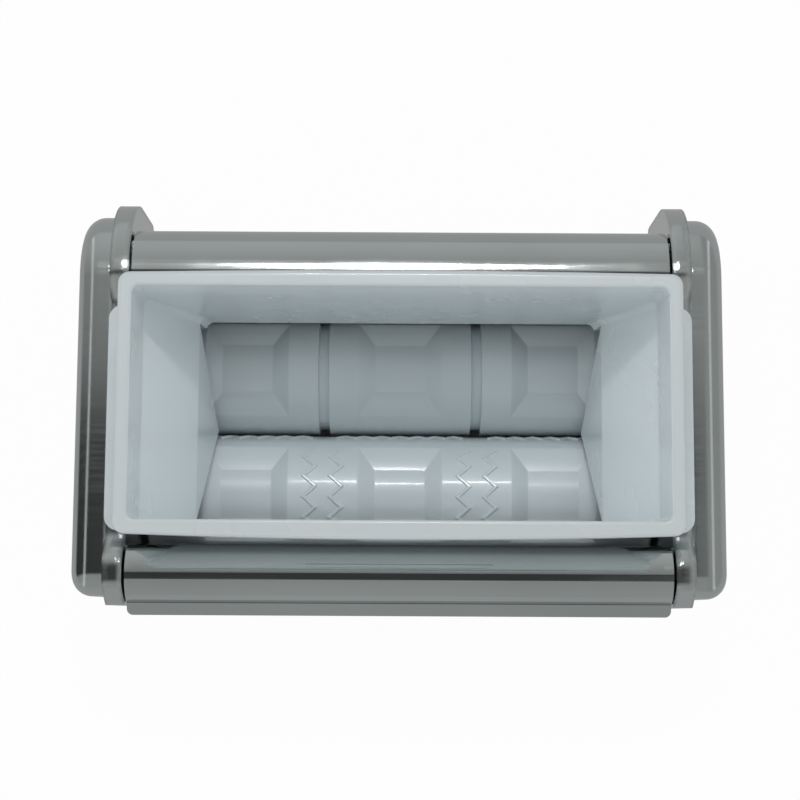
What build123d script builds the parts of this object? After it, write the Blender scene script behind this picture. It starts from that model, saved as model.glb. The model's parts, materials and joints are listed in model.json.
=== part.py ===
from build123d import *
import os
from math import acos, asin, atan2, cos, degrees, hypot, pi, radians, sin, sqrt, tan

# Ravioli attachment for a pasta machine: two geared mould rollers in a plated
# frame, with a lift-off hopper. X runs along the rollers, +Y is the rear,
# +Z is up. Lengths are in millimetres and angles in degrees.
# Heights below are measured from the roller axes and depths from the nip.

# Mould rollers
mould_columns = 3
mould_pitch = 45.0  # centre to centre along a roller
moulds_per_turn = 2
roller_radius = 17.6
nip_gap = 0.8
roller_margin = 6.5  # plain end of a roller beyond its last mould
roller_end_gap = 1.0
mould_rim_length = 24.5  # along the roller
mould_rim_angle = 51.8  # half of the rim, round the roller
mould_floor_length = 14.8
mould_floor_angle = 27.4
mould_depth = 2.4
cut_line_lead = 2.5  # the cut line at rest stands this far above the nip
groove_width = 3.0
groove_depth = 1.5
notch_length = 3.2  # round the front roller, at each cut line

# Shafts, keys, bushings and circlips
shaft_diameter = 11.0
shaft_seat_clearance = 0.05
running_clearance = 0.05
key_width = 3.0
key_height = 4.0
key_length = 16.0
key_inset = 4.0  # from the roller's end to the key
key_clearance = 0.05
key_edge = 0.3
bushing_wall = 2.2
bushing_flange = 3.2  # radial width of the flange, from the bore
bushing_flange_thickness = 0.8
clip_thickness = 1.0
clip_groove_depth = 0.5
clip_width = 2.0
clip_clearance = 0.05
clip_opening = 50.0
shaft_tail = 0.8  # shaft beyond its clip
crank_end_gap = 0.8  # socket's mouth, short of the end cover's wall
socket_diameter = 7.0
socket_depth = 16.0
socket_slot_width = 2.6
socket_slot_depth = 7.0
shaft_chamfer = 0.6

# Gears
gear_teeth = 24
pressure_angle = 20.0
gear_backlash = 0.3
gear_width = 5.0
gear_dedendum = 1.25  # in modules
tooth_root_sink = 0.4
gear_standoff = 0.9  # from the plate's outer face to the gear
gear_flat_depth = 1.2
gear_tip_trim = 0.15
gear_recess_depth = 1.2
gear_hub_wall = 4.0
gear_rim_wall = 3.0

# Side plates
plate_thickness = 5.3
plate_web = 3.0
plate_rim = 3.2
plate_corner = 3.0
plate_front_margin = 0.6  # in front of the front cover's panel
rail_depth = 9.1  # rear edge beyond the rear cover, which docks the unit
rail_foot_rise = 6.5  # lower end of the rail, above the roller axes
rail_foot_step = 2.4
rear_corner = 22.5
saddle_drop = 5.5  # seat of the hopper, below the crests
saddle_margin = 1.2  # from the seat's end to the covers' inner walls
crest_run = 5.5  # from the seat's end up to the crest, in depth
front_shoulder_drop = 7.5
front_shoulder_run = 5.4
ground_clearance = 16.4  # under the rollers
boss_wall = 3.4
screw_boss_wall = 2.0

# Cover sheets
sheet = 1.0
sheet_end_gap = 0.8
cover_wall_inset = 1.1  # inner wall, short of the roller's outer side
cover_roller_gap = 2.8
cover_height = 33.9  # crest above the rollers
crest_width = 16.3  # front cover, from inner wall to front panel
crest_radius = 8.0
rear_cover_depth = 19.4
rear_wall_radius = 6.0
rear_crest_radius = 13.0
panel_lift = 3.0  # lower edge of the panels above the ground
hem_width = 6.8
hem_radius = 2.0
lip_reach = 3.2
lip_height = 1.6
lip_drop = 5.8  # top of the lip, at the panel, below the crest
lip_fall = 1.2  # from the panel to the lip's front
lip_end_radius = 1.6
tab_thickness = 1.0
tab_margin = 1.5  # tab beyond its rod

# Tie rods and screws
rod_diameter = 7.0
rod_crest_drop = 11.5
rod_hole_runout = 2.0
rod_low_lift = 10.0  # lower rods above the ground
rod_panel_gap = 2.2
screw_diameter = 4.0
screw_clearance = 0.15
thread_clearance = 0.05
screw_grip = 11.0  # thread length inside a rod
screw_head_diameter = 7.0
screw_head_height = 2.6
socket_hex_across = 3.0
socket_hex_depth = 1.6
screw_crown = 0.4
screw_tip_gap = 0.5

# Stripper
stripper_depth = 8.0
stripper_height = 7.0
stripper_lift = 9.5  # underside of the bar above the ground
stripper_rod_gap = 1.2  # from the rear lower rod
stripper_corner = 1.0
finger_clearance = 0.4
finger_tip_run = 7.0  # past the rear axis, toward the nip
finger_thickness = 1.7

# End covers
end_cover_depth = 10.1
end_wall = 1.2
end_front_corner = 7.5
end_rear_corner = 19.5
end_edge_radius = 5.6
end_front_inset = 2.4
end_rear_inset = 2.8
end_bottom_lift = 1.0
end_screw_drop = 9.0  # upper screw, below the hopper's seat
end_screw_lift = 9.0  # lower screws, above the ground
end_screw_front_run = 12.0  # from the front axis
end_screw_rear_run = 9.0  # from the rear axis
end_boss_wall = 1.4
end_screw_recess = 3.2  # head seat below the cover's outer face
head_clearance = 0.3
crank_hole_diameter = 15.0
crank_collar_wall = 1.2
crank_collar_depth = 3.0

# Hopper
hopper_wall = 2.0
dough_gap = 2.6
collar_overhang = 1.4  # collar's inside, beyond the outer moulds
rim_height = 38.8  # rim above the seat of the hopper
collar_height = 21.3
fold_inset = 10.5  # inner fold of an end wall, inside the outer moulds
fold_drop = 11.0  # fold below the seat
fold_radius = 4.0
hopper_corner = 2.2  # inside, between the end walls and the long walls
tongue_draft = 3.4
tongue_overrun = 1.0  # end walls carried past the tongue's tip before it is cut
hopper_wall_drop = 19.0
tongue_step = 1.7
tongue_roller_gap = 2.15
rim_bead = 1.6
rim_bead_height = 4.0
rim_bow = 1.3
rim_rear_bow = 0.7
rim_corner = 3.0
rim_edge = 1.4
rim_inner_edge = 0.8
wing_thickness = 2.0
wing_seat_gap = 0.3
wing_overhang = 0.3  # past the side plates' outer faces
wing_corner = 4.0
wing_side_gap = 2.1
gusset_thickness = 1.8
gusset_end_inset = 1.0
gusset_count = 3
gusset_spacing = 19.0
lug_width = 24.0
lug_thickness = 2.0
lug_depth = 7.0
lug_gap = 0.5
panel_width = 52.0
panel_height = 13.0
panel_frame = 1.4
panel_relief = 0.8
panel_centre_drop = 16.5  # below the rim

# Worked out from the sizes above
axis_offset = roller_radius + nip_gap / 2
axis_height = roller_radius + ground_clearance
mould_half = mould_columns * mould_pitch / 2
roller_half = mould_half + roller_margin
plate_inner = roller_half + roller_end_gap
plate_outer = plate_inner + plate_thickness
cover_outer = plate_outer + end_cover_depth
shaft_radius = shaft_diameter / 2
wall_y = axis_offset + roller_radius - cover_wall_inset
wall_foot_z = sqrt((roller_radius + cover_roller_gap) ** 2 - (wall_y - axis_offset) ** 2)
crest_z = roller_radius + cover_height
saddle_z = crest_z - saddle_drop
saddle_y = wall_y - saddle_margin
front_panel_y = wall_y + crest_width
rear_panel_y = wall_y + rear_cover_depth
plate_front_y = front_panel_y + plate_front_margin
plate_rear_y = rear_panel_y + rail_depth
front_reach = front_panel_y + lip_reach
panel_foot_z = panel_lift - axis_height
rod_low_z = rod_low_lift - axis_height
rod_high_z = crest_z - rod_crest_drop
sheet_half = plate_inner - sheet_end_gap
gear_inner_x = plate_outer + gear_standoff
gear_outer_x = gear_inner_x + gear_width
crank_end_x = cover_outer - end_wall - crank_end_gap
rear_clip_x = plate_outer + clip_clearance * 4

# The part stands on its underside, centred on its own box.
nip_y = (front_reach - plate_rear_y) / 2
SIDE = Plane(origin=(0, nip_y, axis_height), x_dir=(0, 1, 0), z_dir=(1, 0, 0))
FRONT = Plane(origin=(0, nip_y, axis_height), x_dir=(1, 0, 0), z_dir=(0, -1, 0))
TOP = Plane(origin=(0, nip_y, axis_height))

# Places in the side view, as (depth, height).
front_axis = (-axis_offset, 0)
rear_axis = (axis_offset, 0)
rod_low_inset = rod_panel_gap + rod_diameter / 2 + sheet
rod_places = {
    "front_top_rod": (-(wall_y + crest_width / 2), rod_high_z),
    "rear_top_rod": (wall_y + crest_width / 2, rod_high_z),
    "front_bottom_rod": (-(front_panel_y - rod_low_inset), rod_low_z),
    "rear_bottom_rod": (rear_panel_y - rod_low_inset, rod_low_z),
}
stripper_place = (
    rod_places["rear_bottom_rod"][0] - rod_diameter / 2 - stripper_rod_gap - stripper_depth / 2,
    stripper_lift + stripper_height / 2 - axis_height,
)
head_hole_radius = screw_head_diameter / 2 + head_clearance
frame_screw_places = [*rod_places.values(), stripper_place]
end_screw_places = [
    (0, saddle_z - end_screw_drop),
    (-axis_offset - end_screw_front_run, end_screw_lift - axis_height),
    (axis_offset + end_screw_rear_run, end_screw_lift - axis_height),
]


def export(name, builder):
    """Write one finished piece."""
    builder.part.label = name
    export_step(builder.part, f"parts/{name}.step")


def polar(centre, radius, angle):
    """A point at an angle from +Y toward +Z, round a centre in the side view."""
    return (centre[0] + radius * cos(radians(angle)), centre[1] + radius * sin(radians(angle)))


# ---------------------------------------------------------------------------
# Mould rollers
# ---------------------------------------------------------------------------


def make_mould_cutter(axis, angle):
    """The hollow of one ravioli half: a curved floor with four sloping sides."""
    slope = (mould_rim_length - mould_floor_length) / 2 / mould_depth
    proud = 1.5
    floor_radius = roller_radius - mould_depth
    ramp_radius = (floor_radius + roller_radius) / 2
    ramp_angle = (mould_floor_angle + mould_rim_angle) / 2
    rim = (mould_rim_length / 2, roller_radius)
    floor = (mould_floor_length / 2, floor_radius)
    top = (rim[0] + slope * proud, roller_radius + proud)
    side_axis = Axis(SIDE.from_local_coords((axis[0], axis[1], 0)), (1, 0, 0))
    plan = Plane(
        origin=SIDE.from_local_coords((axis[0], axis[1], 0)),
        x_dir=(1, 0, 0),
        z_dir=(0, -1, 0),
    )
    with BuildPart() as cutter:
        with BuildSketch(plan):
            with BuildLine():
                Polyline((-top[0], top[1]), (-floor[0], floor[1]), floor, top, close=True)
            make_face()
        revolve(axis=side_axis, revolution_arc=360)
        with BuildSketch(SIDE.offset(-mould_pitch / 2)):
            with BuildLine():
                for turn in (-1, 1):
                    Polyline(
                        polar(axis, 0, angle),
                        polar(axis, floor_radius, angle + turn * mould_floor_angle),
                    )
                    ThreePointArc(
                        polar(axis, floor_radius, angle + turn * mould_floor_angle),
                        polar(axis, ramp_radius, angle + turn * ramp_angle),
                        polar(axis, roller_radius, angle + turn * mould_rim_angle),
                    )
                    Polyline(
                        polar(axis, roller_radius, angle + turn * mould_rim_angle),
                        polar(axis, roller_radius * 2, angle + turn * mould_rim_angle),
                        polar(axis, roller_radius * 2, angle),
                    )
            make_face()
        extrude(amount=mould_pitch, mode=Mode.INTERSECT)
    return cutter.part


def land_places():
    """The lands between neighbouring mould columns."""
    return [(i - (mould_columns - 2) / 2) * mould_pitch for i in range(mould_columns - 1)]


def make_roller(axis, cut_angle, grooved):
    """A moulded roller with its hollows, bored and keyed for its shaft."""
    cutters = [
        make_mould_cutter(axis, cut_angle + 180 / moulds_per_turn + i * 360 / moulds_per_turn)
        for i in range(moulds_per_turn)
    ]
    columns = [(i - (mould_columns - 1) / 2) * mould_pitch for i in range(mould_columns)]
    with BuildPart() as roller:
        with BuildSketch(SIDE.offset(-roller_half)):
            with Locations(axis):
                Circle(roller_radius)
        extrude(amount=2 * roller_half)
        chamfer(roller.edges().filter_by(GeomType.CIRCLE), shaft_chamfer)
        with BuildSketch(SIDE.offset(-roller_half)):
            with Locations(axis):
                Circle(shaft_radius + shaft_seat_clearance)
        extrude(amount=2 * roller_half, mode=Mode.SUBTRACT)
        with Locations(*[(x, 0, 0) for x in columns]):
            for cutter in cutters:
                add(cutter, mode=Mode.SUBTRACT)
        for x in land_places():
            with BuildSketch(SIDE.offset(x - groove_width / 2)):
                if grooved:
                    with Locations(axis):
                        Circle(roller_radius + 1)
                        Circle(roller_radius - groove_depth, mode=Mode.SUBTRACT)
                else:
                    for i in range(moulds_per_turn):
                        angle = cut_angle + i * 360 / moulds_per_turn
                        with Locations(Location(polar(axis, roller_radius, angle), angle)):
                            Rectangle(2 * groove_depth, notch_length)
            extrude(amount=groove_width, mode=Mode.SUBTRACT)
        key_seat_start = roller_half - key_inset - key_length - key_clearance
        with BuildSketch(SIDE.offset(key_seat_start)):
            with Locations((axis[0], shaft_radius)):
                Rectangle(key_width + 2 * key_clearance, key_height + 2 * key_clearance)
        extrude(until=Until.LAST, mode=Mode.SUBTRACT)
    return roller


front_cut_angle = cut_line_lead
rear_cut_angle = 180 - cut_line_lead
front_roller = make_roller(front_axis, front_cut_angle, grooved=False)
rear_roller = make_roller(rear_axis, rear_cut_angle, grooved=True)


def make_key(axis):
    """The key that drives a roller from its shaft."""
    with BuildPart() as key:
        with BuildSketch(SIDE.offset(roller_half - key_inset - key_length)):
            with Locations((axis[0], shaft_radius)):
                Rectangle(key_width, key_height)
        extrude(amount=key_length)
        fillet(key.edges().filter_by(Axis.X), key_edge)
    return key


# ---------------------------------------------------------------------------
# Shafts and their clips
# ---------------------------------------------------------------------------

gear_clip_x = gear_outer_x + 2 * clip_clearance
shaft_left_x = gear_clip_x + clip_thickness + 2 * clip_clearance + shaft_tail


def cut_clip_groove(axis, start):
    """A groove for a clip, from start away from the middle, in the shaft being built."""
    outward = 1 if start > 0 else -1
    with BuildSketch(SIDE.offset(start - outward * clip_clearance)) as ring:
        with Locations(axis):
            Circle(shaft_radius + 1)
            Circle(shaft_radius - clip_groove_depth, mode=Mode.SUBTRACT)
    depth = outward * (clip_thickness + 2 * clip_clearance)
    extrude(ring.sketch, amount=depth, mode=Mode.SUBTRACT)


def make_shaft(axis, right_end, socketed):
    """A shaft from the gear's clip on the left to its right end."""
    with BuildPart() as shaft:
        with BuildSketch(SIDE.offset(-shaft_left_x)):
            with Locations(axis):
                Circle(shaft_radius)
        extrude(amount=shaft_left_x + right_end)
        chamfer(shaft.edges().filter_by(GeomType.CIRCLE), shaft_chamfer)
        cut_clip_groove(axis, -gear_clip_x)
        cut_clip_groove(axis, rear_clip_x)
        with BuildSketch(SIDE.offset(-gear_inner_x)):
            with Locations((axis[0], shaft_radius)):
                Rectangle(shaft_diameter, 2 * gear_flat_depth)
        extrude(amount=gear_inner_x - shaft_left_x, mode=Mode.SUBTRACT)
        with BuildSketch(SIDE.offset(roller_half - key_inset - key_length - key_clearance)):
            with Locations((axis[0], shaft_radius)):
                Rectangle(key_width + 2 * key_clearance, key_height + 2 * key_clearance)
        extrude(amount=key_length + 2 * key_clearance, mode=Mode.SUBTRACT)
        if socketed:
            with BuildSketch(SIDE.offset(right_end)):
                with Locations(axis):
                    Circle(socket_diameter / 2)
            extrude(amount=-socket_depth, mode=Mode.SUBTRACT)
            with BuildSketch(SIDE.offset(right_end)):
                with Locations(axis):
                    Rectangle(socket_slot_width, shaft_diameter + 1)
            extrude(amount=-socket_slot_depth, mode=Mode.SUBTRACT)
    return shaft


front_shaft = make_shaft(front_axis, crank_end_x, socketed=True)
rear_shaft_right_x = rear_clip_x + clip_thickness + 2 * clip_clearance + shaft_tail
rear_shaft = make_shaft(rear_axis, rear_shaft_right_x, socketed=False)


def make_clips(axis):
    """The two open spring clips of one shaft."""
    inner = shaft_radius - clip_groove_depth + clip_clearance
    outer = inner + clip_width
    with BuildPart() as clips:
        for start, depth in ((-gear_clip_x, -clip_thickness), (rear_clip_x, clip_thickness)):
            with BuildSketch(SIDE.offset(start)):
                with Locations(axis):
                    Circle(outer)
                    Circle(inner, mode=Mode.SUBTRACT)
                with BuildLine():
                    Polyline(
                        axis,
                        polar(axis, 2 * outer, 270 - clip_opening / 2),
                        polar(axis, 2 * outer, 270 + clip_opening / 2),
                        close=True,
                    )
                make_face(mode=Mode.SUBTRACT)
            extrude(amount=depth)
    return clips


def make_bushing(side, axis):
    """A flanged bushing, pressed into a side plate from inside."""
    bore = shaft_radius + running_clearance
    with BuildPart() as bushing:
        with BuildSketch(SIDE.offset(side * plate_inner)):
            with Locations(axis):
                Circle(bore + bushing_wall)
        extrude(amount=side * plate_thickness)
        with BuildSketch(SIDE.offset(side * plate_inner)):
            with Locations(axis):
                Circle(bore + bushing_flange)
        extrude(amount=-side * bushing_flange_thickness)
        with BuildSketch(SIDE.offset(side * (plate_inner - bushing_flange_thickness))):
            with Locations(axis):
                Circle(bore)
        extrude(amount=side * (plate_thickness + bushing_flange_thickness), mode=Mode.SUBTRACT)
    return bushing


# ---------------------------------------------------------------------------
# Gears
# ---------------------------------------------------------------------------

gear_module = 2 * axis_offset / gear_teeth
gear_tip_radius = axis_offset + gear_module - gear_tip_trim
gear_root_radius = axis_offset - gear_dedendum * gear_module
gear_base_radius = axis_offset * cos(radians(pressure_angle))


def involute(angle):
    """The involute function of a pressure angle in radians."""
    return tan(angle) - angle


def flank_half_angle(radius):
    """Half of a tooth's thickness at a radius, in degrees."""
    pitch_half = pi / 2 / gear_teeth - gear_backlash / 4 / axis_offset
    local = acos(min(1, gear_base_radius / radius))
    return degrees(pitch_half + involute(radians(pressure_angle)) - involute(local))


def make_gear(axis, first_tooth):
    """A spur gear with a flat in its bore; each flank is an arc through its involute."""
    radii = (gear_base_radius, (gear_base_radius + gear_tip_radius) / 2, gear_tip_radius)
    foot = gear_root_radius - tooth_root_sink
    foot_angle = flank_half_angle(gear_base_radius)
    right = [polar((0, 0), r, -flank_half_angle(r)) for r in radii]
    left = [polar((0, 0), r, flank_half_angle(r)) for r in radii]
    web = gear_width - 2 * gear_recess_depth
    with BuildSketch() as tooth:
        with BuildLine():
            Line(polar((0, 0), foot, -foot_angle), right[0])
            ThreePointArc(*right)
            ThreePointArc(right[-1], (gear_tip_radius, 0), left[-1])
            ThreePointArc(*left)
            Line(left[0], polar((0, 0), foot, foot_angle))
            Line(polar((0, 0), foot, foot_angle), polar((0, 0), foot, -foot_angle))
        make_face()
    with BuildPart() as gear:
        with BuildSketch(SIDE.offset(-gear_inner_x)):
            with Locations(axis):
                Circle(gear_root_radius)
            for i in range(gear_teeth):
                with Locations(Location((axis[0], axis[1]), first_tooth + i * 360 / gear_teeth)):
                    add(tooth.sketch)
        extrude(amount=-gear_width)
        for start, depth in ((gear_inner_x, -1), (gear_outer_x, 1)):
            with BuildSketch(SIDE.offset(-start)):
                with Locations(axis):
                    Circle(gear_root_radius - gear_rim_wall)
                    Circle(shaft_radius + gear_hub_wall, mode=Mode.SUBTRACT)
            extrude(amount=depth * (gear_width - web) / 2, mode=Mode.SUBTRACT)
        bore = shaft_radius + shaft_seat_clearance
        with BuildSketch(SIDE.offset(-gear_inner_x)):
            with Locations(axis):
                Circle(bore)
            flat_z = shaft_radius - gear_flat_depth + shaft_seat_clearance
            with Locations((axis[0], flat_z + shaft_radius)):
                Rectangle(shaft_diameter * 2, shaft_diameter, mode=Mode.SUBTRACT)
        extrude(amount=-gear_width, mode=Mode.SUBTRACT)
    return gear


# ---------------------------------------------------------------------------
# Side plates and end covers
# ---------------------------------------------------------------------------

plate_outline = [
    (-plate_front_y, -axis_height),
    (-plate_front_y, crest_z - front_shoulder_drop),
    (-(plate_front_y - front_shoulder_run), crest_z),
    (-(saddle_y + crest_run), crest_z),
    (-saddle_y, saddle_z),
    (saddle_y, saddle_z),
    (saddle_y + crest_run, crest_z),
    (plate_rear_y, crest_z),
    (plate_rear_y, rail_foot_rise),
    (plate_rear_y - rail_foot_step, rail_foot_rise - rail_foot_step),
    (plate_rear_y - rail_foot_step, -axis_height),
]
plate_radii = [plate_corner] * 6 + [rear_corner] + [plate_corner] * 2


def sketch_outline(points, radii):
    """A closed outline, rounded at all but its first and last points."""
    with BuildLine() as outline:
        FilletPolyline(*points, radius=radii)
        Line(points[-1], points[0])
    make_face(outline.edges())


def make_side_plate(side):
    """A cast side plate, hollowed on its outer face round the bosses."""
    bushing_hole = shaft_radius + running_clearance + bushing_wall
    with BuildPart() as plate:
        with BuildSketch(SIDE.offset(side * plate_inner)):
            sketch_outline(plate_outline, plate_radii)
        extrude(amount=side * plate_thickness)
        with BuildSketch(SIDE.offset(side * plate_outer)):
            sketch_outline(plate_outline, plate_radii)
            offset(amount=-plate_rim, kind=Kind.INTERSECTION, mode=Mode.REPLACE)
            with Locations(front_axis, rear_axis):
                Circle(bushing_hole + boss_wall, mode=Mode.SUBTRACT)
            with Locations(*end_screw_places):
                Circle(screw_diameter / 2 + screw_boss_wall, mode=Mode.SUBTRACT)
        extrude(amount=-side * (plate_thickness - plate_web), mode=Mode.SUBTRACT)
        with BuildSketch(SIDE.offset(side * plate_inner)):
            with Locations(front_axis, rear_axis):
                Circle(bushing_hole)
            with Locations(*end_screw_places):
                Circle(screw_diameter / 2 + thread_clearance)
            with Locations(*frame_screw_places):
                Circle(screw_diameter / 2 + screw_clearance)
        extrude(amount=side * plate_thickness, mode=Mode.SUBTRACT)
    return plate


end_front_y = plate_front_y - end_front_inset
end_rear_y = plate_rear_y - end_rear_inset
end_outline = [
    (-end_front_y, end_bottom_lift - axis_height),
    (-end_front_y, saddle_z),
    (end_rear_y, saddle_z),
    (end_rear_y, end_bottom_lift - axis_height),
]


def make_end_cover(side, crank_hole):
    """A drawn shell over a side plate, with bosses for its screws."""
    outer = -1 if side > 0 else 0
    inner = 0 if side > 0 else -1
    inside = end_cover_depth - end_wall
    with BuildPart() as cover:
        with BuildSketch(SIDE.offset(side * plate_outer)):
            sketch_outline(end_outline, [end_front_corner, end_rear_corner])
        extrude(amount=side * end_cover_depth)
        rim = cover.faces().sort_by(Axis.X)[outer].edges()
        fillet(rim, end_edge_radius)
        offset(amount=-end_wall, openings=cover.faces().sort_by(Axis.X)[inner])
        with BuildSketch(SIDE.offset(side * plate_outer)):
            with Locations(*end_screw_places):
                Circle(head_hole_radius + end_boss_wall)
        extrude(amount=side * (inside + end_wall / 2))
        with BuildSketch(SIDE.offset(side * plate_outer)):
            with Locations(*end_screw_places):
                Circle(screw_diameter / 2 + screw_clearance)
        extrude(amount=side * end_cover_depth, mode=Mode.SUBTRACT)
        with BuildSketch(SIDE.offset(side * cover_outer)):
            with Locations(*end_screw_places):
                Circle(head_hole_radius)
        extrude(amount=-side * end_screw_recess, mode=Mode.SUBTRACT)
        if crank_hole:
            hole = crank_hole_diameter / 2
            with BuildSketch(SIDE.offset(side * (plate_outer + inside - crank_collar_depth))):
                with Locations(front_axis):
                    Circle(hole + crank_collar_wall)
            extrude(amount=side * (crank_collar_depth + end_wall / 2))
            with BuildSketch(SIDE.offset(side * plate_outer)):
                with Locations(front_axis):
                    Circle(hole)
            extrude(amount=side * end_cover_depth, mode=Mode.SUBTRACT)
    return cover


# ---------------------------------------------------------------------------
# Tie rods and screws
# ---------------------------------------------------------------------------

rod_half = plate_inner - tab_thickness
rod_hole_depth = screw_grip + rod_hole_runout


def make_rod(place):
    """A turned tie rod, tapped at both ends."""
    with BuildPart() as rod:
        with BuildSketch(SIDE.offset(-rod_half)):
            with Locations(place):
                Circle(rod_diameter / 2)
        extrude(amount=2 * rod_half)
        chamfer(rod.edges().filter_by(GeomType.CIRCLE), shaft_chamfer / 2)
        for side in (-1, 1):
            with BuildSketch(SIDE.offset(side * rod_half)):
                with Locations(place):
                    Circle(screw_diameter / 2 + thread_clearance)
            extrude(amount=-side * rod_hole_depth, mode=Mode.SUBTRACT)
    return rod


def make_screws(side, places, seat_x, length):
    """Socket-head screws whose heads sit at seat_x on one side."""
    with BuildPart() as screws:
        with BuildSketch(SIDE.offset(side * seat_x)):
            with Locations(*places):
                Circle(screw_head_diameter / 2)
        extrude(amount=side * screw_head_height)
        rims = screws.edges().filter_by(GeomType.CIRCLE)
        crowns = [e for e in rims if abs(e.center().X) > seat_x + screw_head_height / 2]
        chamfer(crowns, screw_crown)
        with BuildSketch(SIDE.offset(side * seat_x)):
            with Locations(*places):
                Circle(screw_diameter / 2)
        extrude(amount=-side * length)
        with BuildSketch(SIDE.offset(side * (seat_x + screw_head_height))):
            with Locations(*places):
                RegularPolygon(socket_hex_across / 2, 6, major_radius=False)
        extrude(amount=-side * socket_hex_depth, mode=Mode.SUBTRACT)
    return screws


frame_screw_seat = plate_inner + plate_web
frame_screw_length = plate_web + tab_thickness + screw_grip
end_screw_seat = cover_outer - end_screw_recess
end_screw_length = end_screw_seat - plate_inner - screw_tip_gap

# ---------------------------------------------------------------------------
# Cover sheets
# ---------------------------------------------------------------------------

front_route = [
    (-wall_y, wall_foot_z),
    (-wall_y, crest_z),
    (-front_panel_y, crest_z),
    (-front_panel_y, panel_foot_z),
    (-(front_panel_y - hem_width), panel_foot_z),
]
front_radii = [crest_radius, crest_radius, hem_radius]
rear_route = [
    (wall_y, wall_foot_z),
    (wall_y, crest_z),
    (rear_panel_y, crest_z),
    (rear_panel_y, panel_foot_z),
    (rear_panel_y - hem_width, panel_foot_z),
]
rear_radii = [rear_wall_radius, rear_crest_radius, hem_radius]
tab_top_z = crest_z - crest_radius
tab_foot_z = rod_high_z - rod_diameter / 2 - tab_margin


def make_cover_sheet(route, radii, inward):
    """A folded sheet between the plates; inward is the sheet's inner side of the route."""
    panel_sign = 1 if route[0][0] > 0 else -1
    panel_y = rear_panel_y if panel_sign > 0 else front_panel_y
    crest_y = wall_y + crest_width / 2
    low_rod = rod_places["rear_bottom_rod" if panel_sign > 0 else "front_bottom_rod"]
    half = sheet / 2
    low_tab_top = rod_low_z + rod_diameter / 2 + tab_margin
    with BuildPart() as cover:
        with BuildSketch(SIDE.offset(-sheet_half)):
            with BuildLine():
                FilletPolyline(*route, radius=radii)
                offset(amount=sheet, side=inward, closed=True)
            make_face()
        extrude(amount=2 * sheet_half)
        for side in (-1, 1):
            with BuildSketch(SIDE.offset(side * plate_inner)):
                with Locations((panel_sign * crest_y, (tab_top_z + tab_foot_z) / 2)):
                    Rectangle(crest_width - 2 * half, tab_top_z - tab_foot_z)
                reach = panel_y - half - (abs(low_rod[0]) - rod_diameter / 2)
                low_tab_y = panel_sign * (panel_y - half - reach / 2)
                low_tab_height = low_tab_top - panel_foot_z - half
                with Locations((low_tab_y, low_tab_top - low_tab_height / 2)):
                    Rectangle(reach, low_tab_height)
            extrude(amount=-side * (tab_thickness + sheet_end_gap))
            with BuildSketch(SIDE.offset(side * plate_inner)):
                with Locations(*[p for p in rod_places.values() if p[0] * panel_sign > 0]):
                    Circle(screw_diameter / 2 + screw_clearance)
            extrude(amount=-side * tab_thickness, mode=Mode.SUBTRACT)
            with BuildSketch(SIDE.offset(side * rod_half)):
                with Locations(*[p for p in rod_places.values() if p[0] * panel_sign > 0]):
                    Circle(rod_diameter / 2 + screw_clearance)
            extrude(amount=-side * sheet_end_gap, mode=Mode.SUBTRACT)
        if panel_sign < 0:
            lip_top = crest_z - lip_drop
            with BuildSketch(SIDE.offset(-sheet_half)):
                with BuildLine():
                    Polyline(
                        (-front_panel_y + half, lip_top),
                        (-front_panel_y, lip_top),
                        (-front_reach, lip_top - lip_fall),
                        (-front_reach, lip_top - lip_fall - lip_height),
                        (-front_panel_y + half, lip_top - lip_fall - lip_height),
                        close=True,
                    )
                make_face()
            extrude(amount=2 * sheet_half)
            upright = cover.edges().filter_by(Axis.Z)
            fillet([e for e in upright if e.center().Y < nip_y - front_panel_y - half], lip_end_radius)
    return cover


# ---------------------------------------------------------------------------
# Stripper
# ---------------------------------------------------------------------------


def make_stripper():
    """A bar between the plates whose fingers lie in the rear roller's grooves."""
    width = groove_width - 2 * finger_clearance
    floor_radius = roller_radius - groove_depth + finger_clearance
    tip_y = axis_offset - finger_tip_run
    tip_z = -sqrt(floor_radius**2 - finger_tip_run**2)
    bar_y = stripper_place[0]
    bar_z = stripper_place[1]
    with BuildPart() as stripper:
        with BuildSketch(SIDE.offset(-plate_inner)):
            with Locations(stripper_place):
                RectangleRounded(stripper_depth, stripper_height, stripper_corner)
        extrude(amount=2 * plate_inner)
        for x in land_places():
            with BuildSketch(SIDE.offset(x - width / 2)):
                with BuildLine():
                    Polyline(
                        (tip_y, tip_z),
                        (tip_y, tip_z - finger_thickness),
                        (bar_y, bar_z - stripper_height / 2),
                        (bar_y, bar_z + stripper_height / 2),
                        (axis_offset + floor_radius * 0.7, -floor_radius * 0.5),
                        close=True,
                    )
                make_face()
                with Locations(rear_axis):
                    Circle(floor_radius, mode=Mode.SUBTRACT)
            extrude(amount=width)
        for side in (-1, 1):
            with BuildSketch(SIDE.offset(side * plate_inner)):
                with Locations(stripper_place):
                    Circle(screw_diameter / 2 + thread_clearance)
            extrude(amount=-side * rod_hole_depth, mode=Mode.SUBTRACT)
    return stripper


# ---------------------------------------------------------------------------
# Hopper
# ---------------------------------------------------------------------------

hopper_outer_y = wall_y - dough_gap
hopper_inner_y = hopper_outer_y - hopper_wall
wing_z = saddle_z + wing_seat_gap
rim_z = saddle_z + rim_height
collar_z = rim_z - collar_height
fold_z = saddle_z - fold_drop
collar_x = mould_half + collar_overhang
fold_x = mould_half - fold_inset
hopper_foot_z = saddle_z - hopper_wall_drop
tongue_corner_y = hopper_inner_y - tongue_step


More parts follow.
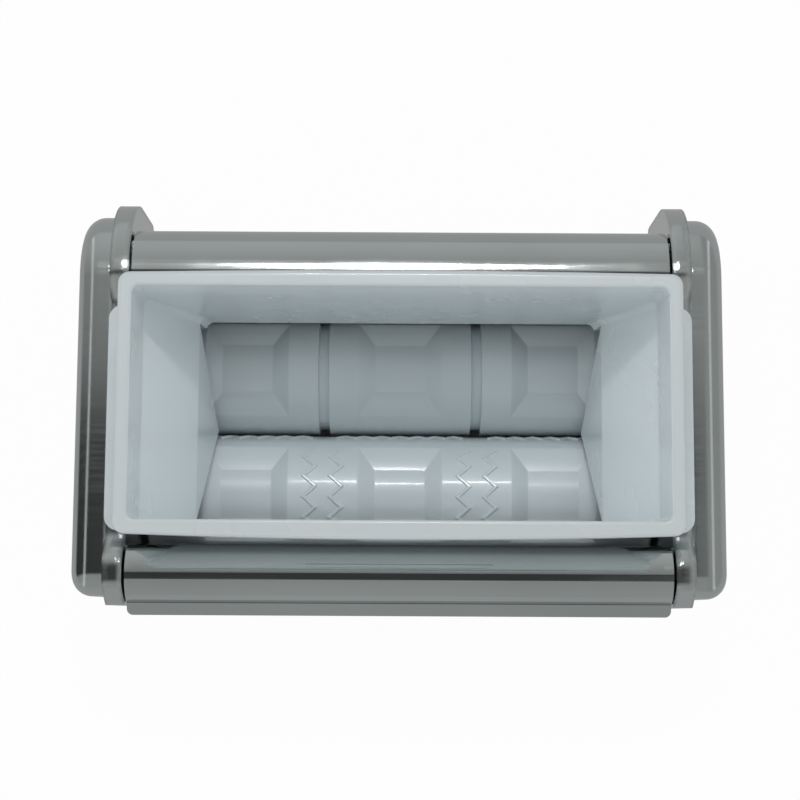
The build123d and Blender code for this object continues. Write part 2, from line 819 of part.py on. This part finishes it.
def tongue_tip_height():
    """Where an edge from the fold, clear of a roller, meets the nip's plane."""
    toward = (axis_offset - tongue_corner_y, -fold_z)
    spread = asin((roller_radius + tongue_roller_gap) / hypot(*toward))
    angle = atan2(toward[1], toward[0]) - spread
    return fold_z - tongue_corner_y * tan(angle)


tongue_tip_z = tongue_tip_height()


def end_wall_route(extra):
    """One end wall from the rim to the tongue's tip, moved outward by extra."""
    drop = fold_z - tongue_tip_z
    run = tongue_draft * (drop + tongue_overrun) / drop
    return [
        (collar_x + extra, rim_z),
        (collar_x + extra, collar_z),
        (fold_x + extra, fold_z),
        (fold_x - run + extra, tongue_tip_z - tongue_overrun),
    ]


def make_funnel(extra, half_depth):
    """The space between the end walls, moved outward by extra, with rounded corners."""
    right = end_wall_route(extra)
    left = [(-x, z) for x, z in reversed(right)]
    with BuildPart() as funnel:
        with BuildSketch(FRONT.offset(-half_depth)):
            with BuildLine():
                FilletPolyline(*right, radius=fold_radius)
                Line(right[-1], left[0])
                FilletPolyline(*left, radius=fold_radius)
                Line(left[-1], right[0])
            make_face()
        extrude(amount=2 * half_depth)
        ends = funnel.faces().filter_by(Axis.Y).edges()
        level = ends.filter_by(Axis.X)
        fillet([e for e in ends if e not in level], hopper_corner)
    return funnel.part


def rim_outline(margin):
    """The rim from above: straight ends and slightly bowed long sides."""
    x = collar_x + hopper_wall + margin
    y = hopper_outer_y + margin
    Line((x, -y), (x, y))
    ThreePointArc((x, y), (0, y + rim_rear_bow), (-x, y))
    Line((-x, y), (-x, -y))
    ThreePointArc((-x, -y), (0, -y - rim_bow), (x, -y))


def make_hopper():
    """The moulded hopper: collar, sloping ends, tongues, wings and gussets."""
    wing_x = plate_outer + wing_overhang
    wing_y = saddle_y - wing_side_gap
    gusset_x = plate_inner - gusset_end_inset
    with BuildPart() as hopper:
        add(make_funnel(hopper_wall, hopper_outer_y))
        # Long walls stop above the rollers, and the end tongues run down to the nip.
        with BuildSketch(SIDE.offset(-plate_inner)):
            with BuildLine():
                Polyline(
                    (-hopper_outer_y, rim_z),
                    (-hopper_outer_y, hopper_foot_z),
                    (-tongue_corner_y, hopper_foot_z),
                    (-tongue_corner_y, fold_z),
                    (0, tongue_tip_z),
                    (tongue_corner_y, fold_z),
                    (tongue_corner_y, hopper_foot_z),
                    (hopper_outer_y, hopper_foot_z),
                    (hopper_outer_y, rim_z),
                    close=True,
                )
            make_face()
        extrude(amount=2 * plate_inner, mode=Mode.INTERSECT)
        with BuildSketch(TOP.offset(wing_z)):
            Rectangle(2 * wing_x, 2 * wing_y)
            fillet(vertices(), wing_corner)
            Rectangle(2 * fold_x, 2 * wing_y, mode=Mode.SUBTRACT)
        extrude(amount=wing_thickness)
        gusset_first = -(gusset_count - 1) / 2 * gusset_spacing
        for i in range(gusset_count):
            middle = gusset_first + i * gusset_spacing
            with BuildSketch(FRONT.offset(-middle - gusset_thickness / 2)):
                for side in (-1, 1):
                    with BuildLine():
                        Polyline(
                            (side * fold_x, wing_z),
                            (side * gusset_x, wing_z),
                            (side * gusset_x, wing_z + wing_thickness),
                            (side * (collar_x + hopper_wall), collar_z),
                            (side * collar_x, collar_z),
                            close=True,
                        )
                    make_face()
            extrude(amount=gusset_thickness)
        with BuildSketch(TOP.offset(wing_z)):
            for side in (-1, 1):
                with Locations((side * (plate_inner - lug_gap - lug_thickness / 2), 0)):
                    Rectangle(lug_thickness, lug_width)
        extrude(amount=-lug_depth)
        with BuildSketch(TOP.offset(rim_z - rim_bead_height)):
            with BuildLine():
                rim_outline(rim_bead)
            face = make_face()
            fillet(face.vertices(), rim_corner)
        extrude(amount=rim_bead_height)
        add(make_funnel(0, hopper_inner_y), mode=Mode.SUBTRACT)
        fillet(hopper.faces().sort_by(Axis.Z)[-1].outer_wire().edges(), rim_edge)
        fillet(hopper.faces().sort_by(Axis.Z)[-1].inner_wires()[0].edges(), rim_inner_edge)
        # A plain frame on the front wall.
        with BuildSketch(FRONT.offset(hopper_outer_y)):
            with Locations((0, rim_z - panel_centre_drop)):
                Rectangle(panel_width, panel_height)
                Rectangle(
                    panel_width - 2 * panel_frame,
                    panel_height - 2 * panel_frame,
                    mode=Mode.SUBTRACT,
                )
        extrude(amount=panel_relief)
    return hopper


# ---------------------------------------------------------------------------
# Write the pieces
# ---------------------------------------------------------------------------

os.makedirs("parts", exist_ok=True)

export("left_side_plate", make_side_plate(-1))
export("right_side_plate", make_side_plate(1))
export("left_end_cover", make_end_cover(-1, crank_hole=False))
export("right_end_cover", make_end_cover(1, crank_hole=True))
export("front_cover", make_cover_sheet(front_route, front_radii, Side.RIGHT))
export("rear_cover", make_cover_sheet(rear_route, rear_radii, Side.LEFT))
export("rear_stripper", make_stripper())
export("hopper", make_hopper())

for name, place in rod_places.items():
    export(name, make_rod(place))

for side, word in ((-1, "left"), (1, "right")):
    frame_screws = make_screws(side, frame_screw_places, frame_screw_seat, frame_screw_length)
    cover_screws = make_screws(side, end_screw_places, end_screw_seat, end_screw_length)
    export(f"{word}_frame_screws", frame_screws)
    export(f"{word}_cover_screws", cover_screws)
    export(f"{word}_front_bushing", make_bushing(side, front_axis))
    export(f"{word}_rear_bushing", make_bushing(side, rear_axis))

export("front_roller", front_roller)
export("rear_roller", rear_roller)
export("front_shaft", front_shaft)
export("rear_shaft", rear_shaft)
export("front_key", make_key(front_axis))
export("rear_key", make_key(rear_axis))
export("front_clips", make_clips(front_axis))
export("rear_clips", make_clips(rear_axis))
export("front_gear", make_gear(front_axis, 0))
export("rear_gear", make_gear(rear_axis, 180 + 180 / gear_teeth))
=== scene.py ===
import json
from math import cos, pi, radians, sin

import bmesh
import bpy
from mathutils import Matrix, Vector


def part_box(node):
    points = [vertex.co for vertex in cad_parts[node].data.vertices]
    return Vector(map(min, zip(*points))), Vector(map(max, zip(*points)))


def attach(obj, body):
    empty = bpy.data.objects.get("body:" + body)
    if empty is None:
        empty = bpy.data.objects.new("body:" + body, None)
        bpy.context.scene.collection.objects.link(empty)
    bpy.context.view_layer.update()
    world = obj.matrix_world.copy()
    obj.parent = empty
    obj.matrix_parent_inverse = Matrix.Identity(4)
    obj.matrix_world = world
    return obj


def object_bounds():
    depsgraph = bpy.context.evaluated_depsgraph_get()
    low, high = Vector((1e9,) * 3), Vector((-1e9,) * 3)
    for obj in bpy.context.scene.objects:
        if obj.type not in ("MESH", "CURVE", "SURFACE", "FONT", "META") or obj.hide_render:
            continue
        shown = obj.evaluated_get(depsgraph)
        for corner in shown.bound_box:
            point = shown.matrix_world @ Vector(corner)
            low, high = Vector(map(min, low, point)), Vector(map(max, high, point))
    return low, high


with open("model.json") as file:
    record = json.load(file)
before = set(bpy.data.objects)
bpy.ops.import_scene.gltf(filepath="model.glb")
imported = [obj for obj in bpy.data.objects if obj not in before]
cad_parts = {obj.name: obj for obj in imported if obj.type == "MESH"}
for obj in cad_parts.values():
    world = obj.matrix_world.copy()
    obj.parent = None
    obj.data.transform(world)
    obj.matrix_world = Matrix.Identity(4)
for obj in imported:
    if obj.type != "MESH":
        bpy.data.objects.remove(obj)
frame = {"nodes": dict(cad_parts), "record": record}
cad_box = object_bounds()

# Looks of the ravioli attachment. Everything is in metres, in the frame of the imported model.

MM = 0.001
scene = bpy.context.scene


def middle(node):
    """The centre of a node's box."""
    low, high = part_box(node)
    return (Vector(low) + Vector(high)) / 2


front_axis = middle("front_roller")
nip = (front_axis + middle("rear_roller")) / 2
roller_low, roller_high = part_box("front_roller")
roller_radius = (roller_high[2] - roller_low[2]) / 2


class Graph:
    """The node tree of a material or of the world, with short ways to add to it."""

    def __init__(self, tree):
        self.nodes = tree.nodes
        self.links = tree.links

    def feed(self, socket, given):
        """Links a socket to another one, or sets it to a number or a colour."""
        if isinstance(given, bpy.types.NodeSocket):
            self.links.new(given, socket)
        else:
            socket.default_value = given

    def math(self, operation, *values):
        node = self.nodes.new("ShaderNodeMath")
        node.operation = operation
        for socket, value in zip(node.inputs, values):
            self.feed(socket, value)
        return node.outputs[0]

    def mix(self, kind, factor, first, second):
        """Goes from the first to the second; kind is MixRGB or MixShader."""
        node = self.nodes.new("ShaderNode" + kind)
        self.feed(node.inputs["Fac"], factor)
        self.feed(node.inputs[1], first)
        self.feed(node.inputs[2], second)
        return node.outputs[0]

    def axes(self, coordinates):
        """The X, Y and Z of one kind of texture coordinates."""
        split = self.nodes.new("ShaderNodeSeparateXYZ")
        self.feed(split.inputs[0], self.nodes.new("ShaderNodeTexCoord").outputs[coordinates])
        return split.outputs


# ---------------------------------------------------------------------------
# Camera and lamps
# ---------------------------------------------------------------------------

CAMERA_HEIGHT = 520 * MM  # above the roller axes
CAMERA_BACK = 53.5 * MM  # in front of the nip
CAMERA_TILT = 7.07
CAMERA_ROLL = 0.3
CAMERA_LENS = 77.8
CAMERA_SENSOR = 36.0
CAMERA_NEAR = 10 * MM

REAR_LAMP_PLACE = (0.01, 0.36, 0.90)  # from the nip, as the places below
REAR_LAMP_SIZE = (0.20, 0.06)
REAR_LAMP_POWER = 2.1
DULL_LAMP_SIZE = (0.3, 0.3)
DULL_LAMPS = (  # polished surfaces don't show these; the low one is for the hopper's front wall
    ("front_lamp", (-0.1, -0.5, 0.8), 0.55),
    ("low_lamp", (0.0, -0.7, 0.12), 0.9),
    ("left_lamp", (-0.75, 0.05, 0.46), 1.45),
    ("right_lamp", (0.75, 0.05, 0.46), 1.15),
)
MOUTH_FILL_POWER = 0.0088
MOUTH_INSET_X = 12 * MM
MOUTH_INSET_Y = 6 * MM


def make_camera():
    data = bpy.data.cameras.new("camera")
    data.lens = CAMERA_LENS
    data.sensor_width = CAMERA_SENSOR
    data.clip_start = CAMERA_NEAR
    camera = bpy.data.objects.new("camera", data)
    place = nip + Vector((0, -CAMERA_BACK, CAMERA_HEIGHT))
    tilt = Matrix.Rotation(radians(CAMERA_TILT), 4, "X")
    roll = Matrix.Rotation(radians(CAMERA_ROLL), 4, "Z")
    camera.matrix_world = Matrix.Translation(place) @ tilt @ roll
    scene.collection.objects.link(camera)
    scene.camera = camera


def make_lamp(name, place, size, power):
    """A rectangular lamp that faces the nip."""
    data = bpy.data.lights.new(name, "AREA")
    data.shape = "RECTANGLE"
    data.size = size[0]
    data.size_y = size[1]
    data.energy = power
    lamp = bpy.data.objects.new(name, data)
    lamp.location = place
    lamp.rotation_euler = (nip - place).to_track_quat("-Z", "Y").to_euler()
    scene.collection.objects.link(lamp)
    return lamp


def make_lamps():
    """A lamp behind the object, weak ones in front and beside it, and a soft fill over the hopper."""
    make_lamp("rear_lamp", nip + Vector(REAR_LAMP_PLACE), REAR_LAMP_SIZE, REAR_LAMP_POWER)
    dull = []
    for name, place, power in DULL_LAMPS:
        dull.append(make_lamp(name, nip + Vector(place), DULL_LAMP_SIZE, power))
    low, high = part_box("hopper")
    mouth = Vector((nip.x, nip.y, high[2]))
    size = (high[0] - low[0] - 2 * MOUTH_INSET_X, high[1] - low[1] - 2 * MOUTH_INSET_Y)
    dull.append(make_lamp("mouth_fill", mouth, size, MOUTH_FILL_POWER))
    for lamp in dull:
        lamp.visible_glossy = False
        lamp.visible_camera = False


# ---------------------------------------------------------------------------
# World and floor
# ---------------------------------------------------------------------------

EVEN_LIGHT = 0.28  # what dull surfaces get from all round
STUDIO_TINT = (0.985, 1.01, 1.005)
# What polished surfaces reflect, by the Y part of the reflected direction: the dark
# band is the camera and whoever holds it.
STUDIO_BANDS = (
    (-1.0, 0.38), (-0.45, 0.34), (-0.37, 0.38), (-0.345, 0.05), (0.10, 0.05),
    (0.135, 0.22), (0.18, 0.29), (0.40, 0.34), (0.70, 0.42), (1.0, 0.50),
)
SIDE_START = 0.165  # past this X part, to the right, the studio has one level
SIDE_RISE = 60.0  # how fast it gets there
SIDE_LEVEL = 0.33
STRIP_START = 0.50  # a bright strip on each side, by the size of the X part
STRIP_END = 0.60
STRIP_LEVEL = 0.85
WHITE = (1, 1, 1, 1)

FLOOR_REACH = 3.0  # from the middle to an edge
FLOOR_DROP = 0.2 * MM
FLOOR_COLOR = (0.88, 0.88, 0.88, 1)
FLOOR_ROUGHNESS = 0.9
FLOOR_GLOW = 0.97  # share of plain white; the rest keeps the shadow
FLOOR_IN_METAL = 0.40
FOOTPRINT_INSET = 6 * MM


def studio_grey(level):
    return (*(level * part for part in STUDIO_TINT), 1)


def band_ramp(graph, position):
    """The studio's grey at a position that runs over 0 to 1."""
    ramp = graph.nodes.new("ShaderNodeValToRGB")
    stops = ramp.color_ramp.elements
    while len(stops) < len(STUDIO_BANDS):
        stops.new(1.0)
    for stop, (part, level) in zip(stops, STUDIO_BANDS):
        stop.position = (part + 1) / 2
        stop.color = studio_grey(level)
    graph.feed(ramp.inputs["Fac"], position)
    return ramp.outputs["Color"]


def make_world():
    """A plain white backdrop, even light on dull surfaces and a banded studio for the bright ones."""
    world = bpy.data.worlds.new("studio")
    scene.world = world
    world.use_nodes = True
    world.node_tree.nodes.clear()
    graph = Graph(world.node_tree)
    along, depth, _ = graph.axes("Generated")
    bands = band_ramp(graph, graph.math("MULTIPLY_ADD", depth, 0.5, 0.5))
    aside = graph.math("MULTIPLY", graph.math("SUBTRACT", along, SIDE_START), SIDE_RISE)
    aside = graph.math("MINIMUM", graph.math("MAXIMUM", aside, 0.0), 1.0)
    studio = graph.mix("MixRGB", aside, bands, studio_grey(SIDE_LEVEL))
    sideways = graph.math("ABSOLUTE", along)
    past_start = graph.math("GREATER_THAN", sideways, STRIP_START)
    strip = graph.math("MULTIPLY", past_start, graph.math("LESS_THAN", sideways, STRIP_END))
    studio = graph.mix("MixRGB", strip, studio, studio_grey(STRIP_LEVEL))
    path = graph.nodes.new("ShaderNodeLightPath")
    lit = graph.nodes.new("ShaderNodeBackground")
    light = graph.mix("MixRGB", path.outputs["Is Glossy Ray"], studio_grey(EVEN_LIGHT), studio)
    graph.feed(lit.inputs["Color"], light)
    shown = graph.nodes.new("ShaderNodeBackground")
    graph.feed(shown.inputs["Color"], WHITE)
    surface = graph.mix("MixShader", path.outputs["Is Camera Ray"], lit.outputs[0], shown.outputs[0])
    graph.feed(graph.nodes.new("ShaderNodeOutputWorld").inputs["Surface"], surface)


def outside_footprint(graph):
    """1 on the floor round the object, 0 under it."""
    out = []
    for axis, position in enumerate(graph.axes("Object")[:2]):
        half = (cad_box[1][axis] - cad_box[0][axis]) / 2 - FOOTPRINT_INSET
        out.append(graph.math("GREATER_THAN", graph.math("ABSOLUTE", position), half))
    return graph.math("MAXIMUM", *out)


def floor_material():
    material = bpy.data.materials.new("floor")
    material.use_nodes = True
    graph = Graph(material.node_tree)
    bsdf = graph.nodes["Principled BSDF"]
    graph.feed(bsdf.inputs["Base Color"], FLOOR_COLOR)
    graph.feed(bsdf.inputs["Roughness"], FLOOR_ROUGHNESS)
    path = graph.nodes.new("ShaderNodeLightPath")
    glossy = path.outputs["Is Glossy Ray"]
    seen = graph.math("MAXIMUM", path.outputs["Is Camera Ray"], glossy)
    share = graph.math("MULTIPLY", graph.math("MULTIPLY", seen, outside_footprint(graph)), FLOOR_GLOW)
    glow = graph.nodes.new("ShaderNodeEmission")
    dimming = graph.math("MULTIPLY", glossy, 1.0 - FLOOR_IN_METAL)
    graph.feed(glow.inputs["Strength"], graph.math("SUBTRACT", 1.0, dimming))
    surface = graph.mix("MixShader", share, bsdf.outputs[0], glow.outputs[0])
    graph.feed(graph.nodes["Material Output"].inputs["Surface"], surface)
    return material


def make_floor():
    """A pale floor that shows white, keeps the object's shadow and stays dark beneath the object."""
    bm = bmesh.new()
    bmesh.ops.create_grid(bm, x_segments=2, y_segments=2, size=FLOOR_REACH)
    mesh = bpy.data.meshes.new("floor")
    bm.to_mesh(mesh)
    bm.free()
    mesh.materials.append(floor_material())
    floor = bpy.data.objects.new("floor", mesh)
    floor.location = (0, 0, -FLOOR_DROP)
    scene.collection.objects.link(floor)


# ---------------------------------------------------------------------------
# Materials
# ---------------------------------------------------------------------------

CHROME = (0.60, 0.635, 0.63)
PLATE_SOFT_EDGE = 2.6 * MM
END_SOFT_EDGE = 1.5 * MM
EDGE_SAMPLES = 6


class Surface(Graph):
    """A Principled material with helpers for its procedural detail."""

    def __init__(self, name, color, roughness, metallic=0.0):
        self.material = bpy.data.materials.new(name)
        self.material.use_nodes = True
        super().__init__(self.material.node_tree)
        self.inputs = self.nodes["Principled BSDF"].inputs
        self.feed(self.inputs["Metallic"], metallic)
        self.feed(self.inputs["Roughness"], roughness)
        self.feed(self.inputs["Base Color"], (*color, 1))
        self.coords = self.nodes.new("ShaderNodeTexCoord").outputs["Object"]
        self.normal = None

    def noise(self, scale, detail, stretch=(1, 1, 1)):
        """A noise field; stretch divides its frequency along each axis."""
        mapping = self.nodes.new("ShaderNodeMapping")
        self.feed(mapping.inputs["Scale"], [1 / s for s in stretch])
        self.feed(mapping.inputs["Vector"], self.coords)
        noise = self.nodes.new("ShaderNodeTexNoise")
        self.feed(noise.inputs["Scale"], scale)
        self.feed(noise.inputs["Detail"], detail)
        self.feed(noise.inputs["Vector"], mapping.outputs[0])
        return noise.outputs["Fac"]

    def remap(self, value, given, wanted=(0.0, 1.0)):
        """Stretches the given range of a value to the wanted one."""
        node = self.nodes.new("ShaderNodeMapRange")
        self.feed(node.inputs["Value"], value)
        self.feed(node.inputs["From Min"], given[0])
        self.feed(node.inputs["From Max"], given[1])
        self.feed(node.inputs["To Min"], wanted[0])
        self.feed(node.inputs["To Max"], wanted[1])
        return node.outputs["Result"]

    def shade(self, factor, color, depth):
        """Colours the surface, darker by depth where the factor is 1."""
        darker = (*(c * depth for c in color), 1)
        self.feed(self.inputs["Base Color"], self.mix("MixRGB", factor, (*color, 1), darker))

    def soften(self, radius):
        """Shades the edges as if they were rounded to this radius."""
        node = self.nodes.new("ShaderNodeBevel")
        node.samples = EDGE_SAMPLES
        self.feed(node.inputs["Radius"], radius)
        self.normal = node.outputs[0]

    def bump(self, value, distance, strength):
        node = self.nodes.new("ShaderNodeBump")
        self.feed(node.inputs["Height"], value)
        self.feed(node.inputs["Distance"], distance)
        self.feed(node.inputs["Strength"], strength)
        if self.normal is not None:
            self.feed(node.inputs["Normal"], self.normal)
        self.feed(self.inputs["Normal"], node.outputs[0])


def chrome(name, wave, soft_edge=None):
    """Bright plating: nearly mirror, with smears, faint straight hairlines and a slight ripple."""
    s = Surface(name, CHROME, roughness=0.08, metallic=1.0)
    if soft_edge:
        s.soften(soft_edge)
    cloud = s.noise(scale=14.0, detail=2.0)
    s.shade(s.remap(cloud, (0.38, 0.66)), CHROME, depth=0.90)
    smear = s.remap(s.noise(scale=38.0, detail=4.0), (0.35, 0.7), (0.05, 0.13))
    hair = s.noise(scale=900.0, detail=1.0, stretch=(60.0, 1.0, 1.0))
    roughness = s.math("ADD", smear, s.remap(hair, (0.35, 0.65), (0.0, 0.05)))
    s.feed(s.inputs["Roughness"], roughness)
    s.bump(s.noise(scale=24.0, detail=1.0, stretch=wave), distance=0.25 * MM, strength=0.30)
    return s.material


def white_plastic(name, color, roughness):
    """Gloss moulded plastic: faint cloudiness, uneven gloss and slight sink marks."""
    s = Surface(name, color, roughness)
    cloud = s.noise(scale=30.0, detail=1.0)
    s.shade(s.remap(cloud, (0.2, 0.8)), color, depth=0.97)
    gloss = s.noise(scale=60.0, detail=2.0)
    gloss = s.remap(gloss, (0.2, 0.8), (roughness * 0.8, roughness * 1.3))
    s.feed(s.inputs["Roughness"], gloss)
    s.feed(s.inputs["Coat Weight"], 0.2)
    s.feed(s.inputs["Coat Roughness"], 0.08)
    s.bump(s.noise(scale=20.0, detail=1.0), distance=0.15 * MM, strength=0.2)
    return s.material


def steel(name, color, roughness, stretch=(1.0, 1.0, 1.0)):
    """Turned or ground steel with fine lines along its cut."""
    s = Surface(name, color, roughness, metallic=1.0)
    stain = s.noise(scale=70.0, detail=3.0)
    s.shade(s.remap(stain, (0.42, 0.7)), color, depth=0.7)
    lines = s.noise(scale=1500.0, detail=2.0, stretch=stretch)
    gloss = s.remap(lines, (0.3, 0.7), (roughness * 0.7, roughness * 1.4))
    s.feed(s.inputs["Roughness"], gloss)
    s.bump(lines, distance=0.02 * MM, strength=0.4)
    return s.material


def make_materials():
    """A material for each slot of the record."""
    return {
        "chrome_sheet": chrome("chrome_sheet", wave=(6.0, 1.0, 1.0)),
        "chrome_plate": chrome("chrome_plate", wave=(1.0, 2.0, 2.0), soft_edge=PLATE_SOFT_EDGE),
        "chrome_end": chrome("chrome_end", wave=(1.0, 2.0, 2.0), soft_edge=END_SOFT_EDGE),
        "white_hopper": white_plastic("white_hopper", (0.70, 0.76, 0.78), 0.24),
        "white_roller": white_plastic("white_roller", (0.68, 0.745, 0.77), 0.34),
        "white_stripper": white_plastic("white_stripper", (0.68, 0.74, 0.76), 0.40),
        "bushing_nylon": white_plastic("bushing_nylon", (0.58, 0.54, 0.44), 0.45),
        "steel_shaft": steel("steel_shaft", (0.55, 0.56, 0.57), 0.26, stretch=(0.2, 6.0, 6.0)),
        "steel_gear": steel("steel_gear", (0.42, 0.42, 0.43), 0.36, stretch=(8.0, 1.0, 1.0)),
        "spring_steel": steel("spring_steel", (0.10, 0.10, 0.11), 0.42),
        "screw_steel": steel("screw_steel", (0.58, 0.58, 0.60), 0.30),
    }


BEVELS = {  # width in millimetres, and the least angle between faces that is bevelled
    "hopper": (0.30, 22), "front_cover": (0.12, 30), "rear_cover": (0.12, 30),
    "front_roller": (0.22, 13), "rear_roller": (0.22, 13),
    "left_side_plate": (0.4, 25), "right_side_plate": (0.4, 25),
}
BEVEL_SEGMENTS = 2
WELD_DISTANCE = 0.002 * MM


def round_edges(node, width, angle):
    weld = node.modifiers.new("weld", "WELD")
    weld.merge_threshold = WELD_DISTANCE
    bevel = node.modifiers.new("bevel", "BEVEL")
    bevel.width = width * MM
    bevel.segments = BEVEL_SEGMENTS
    bevel.limit_method = "ANGLE"
    bevel.angle_limit = radians(angle)
    normals = node.modifiers.new("normals", "WEIGHTED_NORMAL")
    normals.mode = "FACE_AREA_WITH_ANGLE"


def dress_nodes(materials):
    """Each CAD node gets its slot's material, and the visible ones softer edges."""
    for entry in frame["record"]["subparts"]:
        name = entry["node"]
        node = frame["nodes"][name]
        node.data.materials.clear()
        node.data.materials.append(materials[entry["material_slot"]])
        if name in BEVELS:
            round_edges(node, *BEVELS[name])


# ---------------------------------------------------------------------------
# Zigzag sealing ridges of the front roller
# ---------------------------------------------------------------------------

MOULD_PITCH = 45.0 * MM
MOULD_COLUMNS = 3
MOULDS_PER_TURN = 2
CUT_LINE_LEAD = 2.5  # degrees from the nip up to a cut line, at rest
RIDGE_HEIGHT = 0.55 * MM
RIDGE_SINK = 0.25 * MM
RIDGE_WIDTH = 1.3 * MM
RIDGE_TOP = 0.6  # its flat top, as a share of its width
RIDGE_LEAST_LEAN = 0.45  # keeps the corners of a zigzag from growing long
RIDGE_EDGE = 0.18 * MM
RIDGE_SWING = 1.7 * MM
RIDGE_SIDE_STEP = 3.85 * MM  # from the middle of a land to a ridge round the roller
RIDGE_STEP = 10.0  # degrees round the roller, from corner to corner
RIDGE_CORNERS = 10
RIDGE_PHASE = -2.5
ROW_ANGLE = 76.0  # from the middle of a mould to the row at its end
ROW_PERIODS = 7
ROW_HALF = 18.75 * MM
ROW_SWING = 1.3 * MM


def on_roller(x, angle, radius):
    """A point on the front roller; angle turns from the nip, upward."""
    turn = radians(angle)
    return Vector((x, front_axis.y + radius * cos(turn), front_axis.z + radius * sin(turn)))


def add_ridge(bm, route):
    """A bar of trapezoid section along a zigzag of (x, angle) places."""
    section = (
        (-1.0, -RIDGE_SINK), (-RIDGE_TOP, RIDGE_HEIGHT),
        (RIDGE_TOP, RIDGE_HEIGHT), (1.0, -RIDGE_SINK),
    )
    metres = roller_radius * pi / 180  # along the roller's face, for a degree
    flat = [Vector((x, angle * metres)) for x, angle in route]
    rings = []
    for i, place in enumerate(flat):
        before = flat[i - 1] if i else 2 * flat[0] - flat[1]
        after = flat[i + 1] if i + 1 < len(flat) else 2 * flat[-1] - flat[-2]
        ahead = (after - place).normalized()
        behind = (place - before).normalized()
        across = Vector((-(ahead + behind).y, (ahead + behind).x)).normalized()
        lean = max(RIDGE_LEAST_LEAN, abs(across.dot(Vector((-ahead.y, ahead.x)))))
        ring = []
        for side, lift in section:
            corner = place + across * side * RIDGE_WIDTH / 2 / lean
            ring.append(bm.verts.new(on_roller(corner.x, corner.y / metres, roller_radius + lift)))
        rings.append(ring)
    for one, two in zip(rings, rings[1:]):
        for k in range(4):
            bm.faces.new((one[k], one[(k + 1) % 4], two[(k + 1) % 4], two[k]))
    bm.faces.new(rings[0][::-1])
    bm.faces.new(rings[-1])


def route_round(x, middle_angle):
    """A zigzag round the roller, beside a mould."""
    first = middle_angle + RIDGE_PHASE - (RIDGE_CORNERS - 1) / 2 * RIDGE_STEP
    route = []
    for i in range(RIDGE_CORNERS):
        route.append((x + RIDGE_SWING * (-1 if i % 2 else 1), first + i * RIDGE_STEP))
    return route


def route_along(middle_x, angle, side):
    """A zigzag along the roller, at one end of a mould."""
    swing = ROW_SWING / roller_radius * 180 / pi
    route = []
    for i in range(2 * ROW_PERIODS + 1):
        x = middle_x - ROW_HALF + i * ROW_HALF / ROW_PERIODS
        route.append((x, angle + swing * (1 if i % 2 else -1) * side))
    return route


def make_ridges(material):
    bm = bmesh.new()
    for column in range(MOULD_COLUMNS):
        middle_x = (column - (MOULD_COLUMNS - 1) / 2) * MOULD_PITCH
        for mould in range(MOULDS_PER_TURN):
            middle_angle = CUT_LINE_LEAD + (mould + 0.5) * 360 / MOULDS_PER_TURN
            for side in (-1, 1):
                x = middle_x + side * (MOULD_PITCH / 2 - RIDGE_SIDE_STEP)
                add_ridge(bm, route_round(x, middle_angle))
                add_ridge(bm, route_along(middle_x, middle_angle + side * ROW_ANGLE, side))
    bmesh.ops.recalc_face_normals(bm, faces=bm.faces)
    mesh = bpy.data.meshes.new("front_roller_ridges")
    bm.to_mesh(mesh)
    bm.free()
    mesh.materials.append(material)
    ridges = bpy.data.objects.new("front_roller_ridges", mesh)
    scene.collection.objects.link(ridges)
    bevel = ridges.modifiers.new("bevel", "BEVEL")
    bevel.width = RIDGE_EDGE
    bevel.segments = BEVEL_SEGMENTS
    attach(ridges, "front_roller")


scene.view_settings.view_transform = "Standard"
make_camera()
make_lamps()
make_world()
make_floor()
materials = make_materials()
dress_nodes(materials)
make_ridges(materials["white_roller"])
